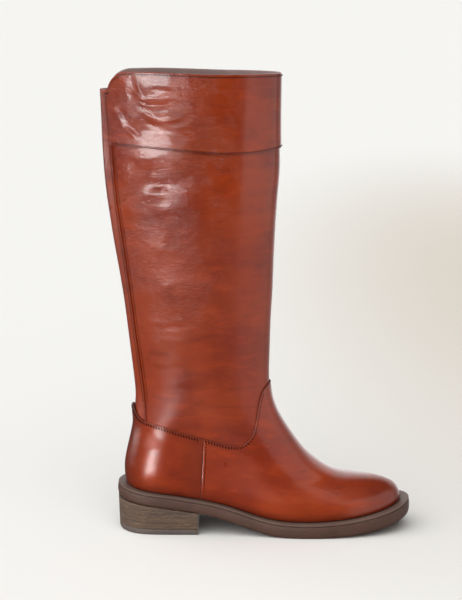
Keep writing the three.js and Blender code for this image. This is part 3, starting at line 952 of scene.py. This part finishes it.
class BootLeather(bpy.types.PropertyGroup):
    """Thickness, folds and colours of the leathers."""

    thickness: size_setting("Thickness", "Thickness of the outer leathers, in millimetres", 1.2)
    lining: size_setting("Lining", "Thickness of the lining, in millimetres", 1.1)
    fold_depth: size_setting("Fold depth", "Scale of the hand-placed folds", 0.7, min=0, max=2)
    grain_depth: size_setting("Grain depth", "Scale of the drawn grain", 1.0, min=0, max=3)
    colour: colour_setting("Colour", "Main colour of the leather", (0.272, 0.03, 0.0022))
    shade_colour: colour_setting("Shade", "Darker patches of the leather", (0.192, 0.0165, 0.002))
    # the cut edges' colour: burnished, and darker as painted shade
    edge_colour: colour_setting("Cut edge", "Burnished cut edges", (0.07, 0.026, 0.018))
    lining_colour: colour_setting("Lining colour", "The lining", (0.28, 0.185, 0.17))


class BootSole(bpy.types.PropertyGroup):
    """Sizes and colours of the sole, heel and top lift."""

    welt: size_setting("Welt", "Thickness of the welt, in millimetres", 2.2)
    lift: size_setting("Top lift", "Thickness of the top lift, in millimetres", 5.2)
    colour: colour_setting("Sole", "Edge of the sole", (0.08, 0.037, 0.025))
    # lighter than the sole's edge: painted light on the welt's top face
    welt_colour_with_painted_light: colour_setting("Welt colour", "Top face of the sole's edge", (0.122, 0.076, 0.06))
    lift_colour: colour_setting("Top lift colour", "The top lift", (0.12, 0.09, 0.08))
    stack_colour: colour_setting("Heel", "Heel block", (0.115, 0.074, 0.05))
    stack_dark: colour_setting("Heel, dark", "Dark layers of the heel block", (0.064, 0.039, 0.03))
    stack_light: colour_setting("Heel, light", "Light grain of the heel block", (0.31, 0.185, 0.1))


class BootStitching(bpy.types.PropertyGroup):
    """Pitch, size and colour of the stitches."""

    fine_pitch: size_setting("Fine pitch", "Pitch of the leg's seams, in millimetres", 2.4)
    bold_pitch: size_setting("Bold pitch", "Pitch of the foot edge's seam, in millimetres", 2.6)
    thread: size_setting("Thread", "Thickness of the fine thread, in millimetres", 1.4)
    colour: colour_setting("Thread colour", "The thread", (0.012, 0.004, 0.003))


class BootStage(bpy.types.PropertyGroup):
    """Camera, lights and floor."""

    azimuth: size_setting(
        "Azimuth", "Camera's angle round the boot", math.radians(0.3), subtype="ANGLE"
    )
    elevation: size_setting(
        "Elevation", "Camera's angle over the floor", math.radians(12), subtype="ANGLE"
    )
    distance: size_setting(
        "Distance", "Camera to its aim", 1.6, unit="LENGTH"
    )
    lens: size_setting("Lens", "Focal length, in mm", 103.8)
    key: size_setting("Key", "Strength of the overhead light", 3.7)
    box: size_setting(
        "Box", "Power of the soft box at the left", 22.0, unit="POWER"
    )
    side: size_setting(
        "Side", "Power of the side panels", 6.0, unit="POWER"
    )
    floor_colour: colour_setting("Floor", "The floor", (0.86, 0.855, 0.83))
    # the colour of the floor's painted shadow
    floor_painted_shadow: colour_setting("Floor, shaded", "The floor's darker side", (0.68, 0.63, 0.56))


# ---- the leathers ----
def blank(u):
    """Zeros, for no painted shade and for no offset."""
    return np.zeros(np.shape(u))


def near_sole(level):
    """1 at the feather line, 0 from a centimetre above it."""
    return 1 - smooth(level, 26, 36)


def near_sides(u, reach):
    """1 at a leather's two side edges, 0 from a share of its width inwards."""
    return 1 - smooth(np.minimum(u, 1 - u), 0.0, reach)


class BOOT_OT_shaft(bpy.types.Operator):
    """Shaft leather, from under the foot's edge to the rim, with its folds"""

    bl_idname = "boot.shaft"
    bl_label = "Shaft"

    def execute(self, context):
        thickness = context.scene.boot_leather.thickness - 0.1

        def place(u, v):
            bottom = edge_level(SHAFT_FOOT, full_turn, u)
            top = edge_level(COLLAR, full_turn, u) - 0.5
            level = lerp(bottom, top, np.interp(v, (0, 0.9, 1), (0, 0.82, 1)))
            turn = full_turn(level, u)
            return Last.skin(level, turn, blank(u)), blank(u)

        piece = leather_sheet("shaft_leather", 250, 176, place, thickness, leathers("leg"))
        hand_over(piece, "shaft_leather", "upper")
        return {"FINISHED"}


class BOOT_OT_lining(bpy.types.Operator):
    """Lining of the leg and foot"""

    bl_idname = "boot.lining"
    bl_label = "Lining"

    def execute(self, context):
        thickness = context.scene.boot_leather.lining

        def place(u, v):
            level = lerp(FOOT_LEVEL + 0.5, edge_level(COLLAR, full_turn, u) - 0.2, v)
            turn = full_turn(level, u)
            return Last.skin(level, turn, np.full(u.shape, -LINING_DEPTH)), blank(u)

        suede = finish_called("suede", lining_suede)
        piece = leather_sheet("suede_lining", 110, 90, place, thickness, (suede, suede, suede))
        hand_over(piece, "lining", "upper")
        return {"FINISHED"}


class BOOT_OT_vamp(bpy.types.Operator):
    """Vamp, from side seam to side seam round the toe, rising to its peak on the instep"""

    bl_idname = "boot.vamp"
    bl_label = "Vamp"

    def execute(self, context):
        leather = context.scene.boot_leather
        offset = overlay_offset()

        def place(u, v):
            level = lerp(FOOT_LEVEL + LEATHER_FOOT, edge_level(FOOT_TOP, vamp_turn, u, offset), v)
            turn = vamp_turn(level, u)
            point = Last.skin(level, turn, np.full(u.shape, offset))
            # painted shade at the sole's edge and along the top edge, and darker towards the toe
            sole = 0.75 * near_sole(level)
            peak = 0.3 * smooth(v, 0.97, 1.0)
            toe = 0.52 * smooth(point[:, 0], 190, 246)
            return point, np.maximum(np.maximum(sole, peak), toe)

        piece = leather_sheet("vamp_leather", 240, 64, place, leather.thickness, leathers("foot"))
        hand_over(piece, "foot_leather", "vamp")
        return {"FINISHED"}


class BOOT_OT_counter(bpy.types.Operator):
    """Counter round the heel, whose peak stands off the leg at the back"""

    bl_idname = "boot.counter"
    bl_label = "Counter"

    def execute(self, context):
        leather = context.scene.boot_leather
        offset = overlay_offset()

        def place(u, v):
            top = edge_level(FOOT_TOP, counter_turn, u, offset, counter_lift)
            level = lerp(FOOT_LEVEL + LEATHER_FOOT, top, v)
            inset = 0.0015
            turn = counter_turn(level, lerp(inset, 1 - inset, u))
            lift = offset + counter_lift(Last.point(level, turn))
            # painted shade at the sole's edge, at the side seams and round the back of the heel
            sole = 0.7 * near_sole(level)
            sides = 0.45 * near_sides(u, 0.12)
            back = 0.7 * (1 - smooth(np.abs(turn), 0.03, 0.12))
            return Last.skin(level, turn, lift), np.maximum(np.maximum(sole, sides), back)

        piece = leather_sheet("counter_leather", 150, 60, place, leather.thickness, leathers("foot"))
        hand_over(piece, "foot_leather", "counter")
        return {"FINISHED"}


class BOOT_OT_collar_band(bpy.types.Operator):
    """Wide collar band with its rounded rear corners"""

    bl_idname = "boot.collar_band"
    bl_label = "Collar band"

    def execute(self, context):
        leather = context.scene.boot_leather
        offset = overlay_offset()

        def place(u, v):
            bottom = edge_level(BAND_FOOT, band_turn, u, offset)
            level = lerp(bottom, edge_level(COLLAR, band_turn, u, offset), v)
            inset = 0.0008
            turn = band_turn(level, lerp(inset, 1 - inset, u))
            # painted shadow along the band's lower edge, and painted shade along the rim's stitch row
            edge = 0.8 * (1 - smooth(v, 0.0, 0.03)) + 0.35 * np.exp(-(((v - 0.966) / 0.014) ** 2))
            return Last.skin(level, turn, np.full(u.shape, offset)), edge

        piece = leather_sheet(
            "collar_leather", 330, 60, place, leather.thickness, leathers("leg"), 0, 0.3
        )
        hand_over(piece, "shaft_leather", "collar_band")
        return {"FINISHED"}


class BOOT_OT_back_strip(bpy.types.Operator):
    """Back strip between the counter and the collar"""

    bl_idname = "boot.back_strip"
    bl_label = "Back strip"

    def execute(self, context):
        offset = STRIP_THICKNESS + GAP

        def place(u, v):
            level = lerp(edge_level(STRIP_FOOT, strip_turn, u, offset), STRIP_TOP, v)
            turn = strip_turn(level, u)
            # painted shade along both seams, fainter higher up
            sides = 0.45 * near_sides(u, 0.06) * (1 - 0.6 * smooth(level, 180, 300))
            return Last.skin(level, turn, np.full(u.shape, offset)), sides

        looks = leathers("leg")
        piece = leather_sheet("strip_leather", 30, 170, place, STRIP_THICKNESS, looks, 0)
        hand_over(piece, "shaft_leather", "back_strip")
        return {"FINISHED"}


# ---- the seams ----
# how far each row of stitches lies from its edge or seam
EDGE_INSET = 2.0
PEAK_INSET = 1.9
SIDE_INSET = 2.4
RIM_INSET = 2.3
HEM_INSET = 1.7
STRIP_INSET = 1.5
STRIP_OUTSET = 2.2
PEAK_X = 114  # ahead of this the foot's edge climbs to its peak, with fine stitches


def edge_line(turns, edge, offset, first, last, count, extra=None):
    """Points and directions of the last along a leather's edge, from u first to u last."""
    u = np.linspace(first, last, count)
    level = level_under(edge, turns, u, offset, extra)
    turn = turns(level, u)
    return Last.point(level, turn), Last.normal(level, turn)


def beside(line, distance):
    """The line moved over the surface to the right of its way along."""
    base, out = line
    forward = np.gradient(base, axis=0)
    side = np.cross(forward, out)
    side /= np.linalg.norm(side, axis=1, keepdims=True)
    return base + side * distance, out


class BOOT_OT_stitching(bpy.types.Operator):
    """Stitch rows along every seam: bold on the foot's edge, fine elsewhere"""

    bl_idname = "boot.stitching"
    bl_label = "Stitching"

    def execute(self, context):
        stitching = context.scene.boot_stitching
        offset = overlay_offset()
        fine = (stitching.fine_pitch, stitching.fine_pitch * 0.6, stitching.thread)
        bold = (stitching.bold_pitch, 3.6, 1.6)
        slant = math.radians(58)
        thread = finish_called("waxed_thread", sewing_thread)

        foot = []
        counter = edge_line(counter_turn, FOOT_TOP, offset, 0.02, 0.98, 300, counter_lift)
        base, out = beside(counter, EDGE_INSET)
        ahead = base + out * counter_lift(base)[:, None]
        foot += thread_row(ahead, out, *bold, slant=-slant, offset=offset)
        for first, last, way in ((0.004, 0.33, -1), (0.996, 0.67, 1)):
            base, out = edge_line(vamp_turn, FOOT_TOP, offset, first, last, 200)
            low = base[:, 0] < PEAK_X
            row = beside((base[low], out[low]), -EDGE_INSET * way)
            foot += thread_row(*row, *bold, slant=slant * way, offset=offset)
            row = beside((base[~low], out[~low]), -PEAK_INSET * way)
            foot += thread_row(*row, *fine, offset=offset)
        for outer in (True, False):
            z = np.linspace(FOOT_LEVEL + 8, 92, 60)
            turn = turn_on(z, lambda at: seam_x(at) + SIDE_INSET, outer)
            base = Last.point(z, turn)
            low = base[:, 2] < foot_edge_z(base[:, 0]) - 3
            foot += thread_row(base[low], Last.normal(z, turn)[low], *fine, offset=offset)
        piece = sew("foot_stitching", foot, thread)
        hand_over(piece, "thread")

        leg = []
        for edge, inset in ((COLLAR, RIM_INSET), (BAND_FOOT, -HEM_INSET)):
            line = edge_line(band_turn, edge, offset, 0.003, 0.997, 500)
            leg += thread_row(*beside(line, inset), *fine, offset=offset)
        # distance from the strip's edge, highest point, points, and lift of the leather sewn
        rows = ((-STRIP_INSET, 407, 260, STRIP_THICKNESS + GAP), (STRIP_OUTSET, 360, 220, 0.0))
        for outer in (True, False):
            for aside, top, count, lift in rows:
                z = np.linspace(118, top, count)
                turn = turn_on(z, lambda at: strip_edge_x(at) + aside, outer)
                base = Last.point(z, turn)
                leg += thread_row(base, Last.normal(z, turn), *fine, offset=lift)
        piece = sew("leg_stitching", leg, thread)
        hand_over(piece, "thread")
        return {"FINISHED"}


# ---- the sole unit ----
def welt_top(x):
    """Height of the welt's top face."""
    return feather_z(x) - 0.4


def welt_under(x):
    """Height of the welt's underside."""
    return welt_top(x) - bpy.context.scene.boot_sole.welt


def sole_top(x):
    """Height of the outsole's top face under the welt."""
    return welt_under(x) - GAP


def sole_under(x):
    """Height of the outsole's underside: arch, flat tread, then the spring of the toe."""
    rise = np.clip((x - FLAT_TO) / (FOOT_LENGTH - FLAT_TO), 0, None)
    return np.where(x < FLAT_FROM, arch_z(np.minimum(x, FLAT_FROM)), TOE_SPRING * rise**2.2)


def heel_top(x):
    """Height of the heel block's top, under the sole."""
    return sole_under(x) - GAP


def between(low, high, share):
    """A height over x, a share of the way from one height to another."""
    return lambda x: lerp(low(x), high(x), share)


def flat(z):
    """The same height at every x."""
    return lambda x: np.full(np.shape(x), z)


def sole_sides(reach, columns):
    """Outer and inner side, heel to toe, of the feather line moved out by reach(x)."""
    plan = sole_outline(reach, 2 * columns)
    index = np.arange(columns + 1)
    return plan[index], plan[-index]


def heel_sides(inset, columns):
    """The heel's outline on both sides, from the back to the breast, in even steps."""
    sides = []
    for run in sole_sides(lambda x: overhang(x) - inset, 360):
        stop = int(np.argmax(run[:, 0] >= BREAST))
        share = (BREAST - run[stop - 1, 0]) / (run[stop, 0] - run[stop - 1, 0])
        run = np.vstack([run[:stop], lerp(run[stop - 1], run[stop], share)])
        way = walked(run)
        at = np.linspace(0, way[-1], columns + 1)
        sides.append(np.column_stack([np.interp(at, way, run[:, i]) for i in range(2)]))
    return sides


def layered_block(name, columns, rows, layers, sides):
    """A grid extruded to layers, each an inset and a height over x, between sides(inset)."""
    piece = start_grid(name, columns, rows)
    bpy.ops.object.mode_set(mode="EDIT")
    bpy.ops.mesh.select_all(action="SELECT")
    for _ in layers[1:]:
        bpy.ops.mesh.extrude_region_move(TRANSFORM_OT_translate={"value": (0, 0, 1)})
    bpy.ops.object.mode_set(mode="OBJECT")
    u, v, layer = grid_places(piece)
    index = np.rint(u * columns).astype(int)
    points = np.zeros((len(u), 3))
    for k, (inset, height) in enumerate(layers):
        outer, inner = sides(inset)
        here = layer == k
        spot = lerp(outer[index[here]], inner[index[here]], v[here][:, None])
        points[here] = np.column_stack([spot, height(spot[:, 0])])
    set_points(piece, points)
    weld(piece, outwards=True)
    return piece


class BOOT_OT_outsole(bpy.types.Operator):
    """Outsole with its arch, flat tread and toe spring"""

    bl_idname = "boot.outsole"
    bl_label = "Outsole"

    def execute(self, context):
        layers = [(2.0, sole_under)]
        for inset, share in ((0.7, 0.08), (0.25, 0.25), (0.0, 0.5), (0.1, 0.8), (0.5, 1.0)):
            layers.append((inset, between(sole_under, sole_top, share)))
        layers += [(WELT_WIDTH + GAP, sole_top), (WELT_WIDTH + 2 * GAP, welt_top)]
        columns = 110
        piece = layered_block(
            "rubber_sole", columns, 10, layers,
            lambda inset: sole_sides(lambda x: overhang(x) - inset, columns),
        )
        soften(piece, 0.4)
        sole = context.scene.boot_sole
        rubber = finish_called("sole_rubber", sole_rubber, sole.colour[:], 0.56)
        piece.data.materials.append(rubber)
        hand_over(piece, "sole_edge", "outsole")
        return {"FINISHED"}


class BOOT_OT_welt(bpy.types.Operator):
    """Welt round the feather line, on which the leathers stand"""

    bl_idname = "boot.welt"
    bl_label = "Welt"

    def execute(self, context):
        # insets and shares of the welt's thickness, up the edge and in over the top
        face = ((0.55, 0.25), (0.6, 0.7), (1.3, 0.95), (2.2, 1.0), (6.0, 0.97), (WELT_WIDTH, 0.97))
        loops = [(inset, between(welt_under, welt_top, share)) for inset, share in face]
        loops = [(0.9, welt_under), *loops, (WELT_WIDTH, welt_under)]
        columns = 220
        piece = start_grid("welt_strip", columns, len(loops))
        u, v, _ = grid_places(piece)
        index = np.rint(u * columns).astype(int) % columns
        row = np.rint(v * len(loops)).astype(int) % len(loops)
        points = np.zeros((len(u), 3))
        for k, (inset, height) in enumerate(loops):
            plan = sole_outline(lambda x: overhang(x) - inset, columns)
            spot = plan[index[row == k]]
            points[row == k] = np.column_stack([spot, height(spot[:, 0])])
        set_points(piece, points)
        weld(piece, outwards=True)
        soften(piece, 0.2)
        sole = context.scene.boot_sole
        # the welt's lighter colour is painted light on its top face
        rubber = finish_called("welt_rubber", sole_rubber, sole.welt_colour_with_painted_light[:], 0.5)
        piece.data.materials.append(rubber)
        hand_over(piece, "welt", "welt")
        return {"FINISHED"}


class BOOT_OT_heel(bpy.types.Operator):
    """Heel block with its level grain"""

    bl_idname = "boot.heel"
    bl_label = "Heel"

    def execute(self, context):
        low = flat(context.scene.boot_sole.lift + GAP)
        taper = ((1.4, 0.0), (1.15, 0.25), (0.9, 0.5), (0.6, 1.0))
        layers = [(inset, between(low, heel_top, share)) for inset, share in taper]
        columns = 60
        piece = layered_block(
            "heel_block", columns, 10, layers, lambda inset: heel_sides(inset, columns)
        )
        soften(piece, 0.3)
        piece.data.materials.append(finish_called("stacked_heel", stacked_heel))
        hand_over(piece, "heel_stack", "heel")
        return {"FINISHED"}


class BOOT_OT_top_lift(bpy.types.Operator):
    """Top lift, the heel's wearing layer"""

    bl_idname = "boot.top_lift"
    bl_label = "Top lift"

    def execute(self, context):
        sole = context.scene.boot_sole
        layers = [(2.6, flat(0.0)), (1.7, flat(0.6)), (1.4, flat(1.6)), (1.4, flat(sole.lift))]
        columns = 60
        piece = layered_block(
            "rubber_lift", columns, 10, layers, lambda inset: heel_sides(inset, columns)
        )
        soften(piece, 0.3)
        rubber = finish_called("lift_rubber", sole_rubber, sole.lift_colour[:], 0.6)
        piece.data.materials.append(rubber)
        hand_over(piece, "top_lift", "top_lift")
        return {"FINISHED"}


class BOOT_OT_insole(bpy.types.Operator):
    """Insole in the bottom of the boot"""

    bl_idname = "boot.insole"
    bl_label = "Insole"

    def execute(self, context):
        columns = 80
        layers = [
            (3.3, feather_z), (3.3, lambda x: feather_z(x) + 2.4),
            (4.1, lambda x: feather_z(x) + 3.2),
        ]
        piece = layered_block(
            "insole_board", columns, 12, layers,
            lambda inset: sole_sides(lambda x: np.full(x.shape, -inset), columns),
        )
        soften(piece, 0.3)
        piece.data.materials.append(finish_called("insole_suede", lining_suede))
        hand_over(piece, "insole", "insole")
        return {"FINISHED"}


# ---- the stage ----
def panel_light(name, place, width, height, power, aim=None, spread=180):
    """A soft box, seen in gloss only; it faces the leg's axis at its own height, or an aim."""
    bpy.ops.object.light_add(type="AREA", location=place)
    lamp = bpy.context.object
    lamp.name = name
    lamp.data.shape = "RECTANGLE"
    lamp.data.size = width
    lamp.data.size_y = height
    lamp.data.energy = power
    lamp.data.spread = math.radians(spread)
    lamp.visible_camera = False
    lamp.visible_diffuse = False
    towards = Vector(aim or (0, 0, place[2])) - Vector(place)
    lamp.rotation_euler = towards.to_track_quat("-Z", "Y").to_euler()


class BOOT_OT_stage(bpy.types.Operator):
    """Floor, soft lights and camera"""

    bl_idname = "boot.stage"
    bl_label = "Stage"

    def execute(self, context):
        stage = context.scene.boot_stage
        bpy.ops.object.select_all(action="DESELECT")
        bpy.ops.mesh.primitive_grid_add(x_subdivisions=8, y_subdivisions=8, size=120)
        floor = bpy.context.object
        floor.name = "floor"
        floor.data.materials.append(finish_called("pale_floor", pale_floor))

        floor.visible_glossy = False
        middle = Vector((0, 0, (CAD_BOX[0][2] + CAD_BOX[1][2]) / 2))
        bpy.ops.object.light_add(type="SUN", location=(0, 0, 3))
        sun = bpy.context.object
        sun.name = "overhead"
        sun.data.energy = stage.key
        sun.data.angle = math.radians(110)
        sun.rotation_euler = Vector((0.38, 0.42, -0.82)).to_track_quat("-Z", "Y").to_euler()
        sun.visible_glossy = False
        heel, box, side = (-0.105, -0.04, 0.042), stage.box, stage.side
        panel_light("left_box", (-0.78, -0.99, 0.385), 0.84, 0.25, box * 0.27)
        panel_light("bright_box", (-0.76, -0.96, 0.388), 0.42, 0.11, box * 0.31)
        panel_light("low_box", (-0.78, -0.99, 0.15), 0.7, 0.18, box * 0.035)
        panel_light("heel_box", (-0.31, -0.38, -0.02), 0.36, 0.1, box * 0.0046, heel, 28)
        panel_light("right_panel", (1.11, -0.6, 0.35), 1.74, 2.6, side * 3.4)
        panel_light("far_panel", (1.0, 1.2, 0.1), 3.0, 2.6, side * 2.6)
        panel_light("left_panel", (-1.3, 0.24, 0.5), 0.84, 1.0, side * 1.5)
        panel_light("back_panel", (0.4, 2.2, 0.8), 3.6, 2.6, side * 4.6, middle)
        panel_light("top_panel", (-0.2, -0.2, 2.4), 1.2, 1.2, side, middle)

        world = bpy.data.worlds.new("studio")
        world.use_nodes = True
        sky = world.node_tree.nodes["Background"].inputs
        sky["Color"].default_value = (1.0, 0.99, 0.97, 1)
        sky["Strength"].default_value = 0.1
        context.scene.world = world

        aim = middle + Vector((-0.0252, -0.0025, 0.0026))
        level = stage.distance * math.cos(stage.elevation)
        reach = Vector((
            level * math.sin(stage.azimuth),
            -level * math.cos(stage.azimuth),
            stage.distance * math.sin(stage.elevation),
        ))
        bpy.ops.object.camera_add(location=aim + reach)
        camera = bpy.context.object
        camera.name = "camera"
        camera.rotation_euler = (-reach).to_track_quat("-Z", "Y").to_euler()
        camera.data.lens = stage.lens
        context.scene.camera = camera
        context.scene.view_settings.view_transform = "Standard"
        return {"FINISHED"}


class BOOT_PT_panel(bpy.types.Panel):
    """Settings and building steps of the boot"""

    bl_idname = "BOOT_PT_panel"
    bl_label = "Riding Boot"
    bl_space_type = "VIEW_3D"
    bl_region_type = "UI"
    bl_category = "Boot"

    def draw(self, context):
        layout = self.layout
        for group in SETTINGS:
            box = layout.box()
            box.label(text=group)
            settings = getattr(context.scene, group)
            for key in settings.__annotations__:
                box.prop(settings, key)
        for step in STEPS:
            layout.operator(step.bl_idname)


SETTINGS = {
    "boot_leather": BootLeather,
    "boot_sole": BootSole,
    "boot_stitching": BootStitching,
    "boot_stage": BootStage,
}
STEPS = (
    BOOT_OT_stage, BOOT_OT_lining, BOOT_OT_shaft, BOOT_OT_collar_band, BOOT_OT_back_strip,
    BOOT_OT_counter, BOOT_OT_vamp, BOOT_OT_stitching, BOOT_OT_welt, BOOT_OT_outsole,
    BOOT_OT_heel, BOOT_OT_top_lift, BOOT_OT_insole,
)


def register():
    """Adds the settings, the building steps and the panel."""
    for name, group in SETTINGS.items():
        bpy.utils.register_class(group)
        setattr(bpy.types.Scene, name, bpy.props.PointerProperty(type=group))
    for step in (*STEPS, BOOT_PT_panel):
        bpy.utils.register_class(step)


def unregister():
    """Takes them away again."""
    for step in (BOOT_PT_panel, *reversed(STEPS)):
        bpy.utils.unregister_class(step)
    for name, group in SETTINGS.items():
        delattr(bpy.types.Scene, name)
        bpy.utils.unregister_class(group)


def main():
    """Builds the boot in order."""
    register()
    for step in STEPS:
        group, name = step.bl_idname.split(".")
        getattr(getattr(bpy.ops, group), name)()


if __name__ == "__main__":
    main()
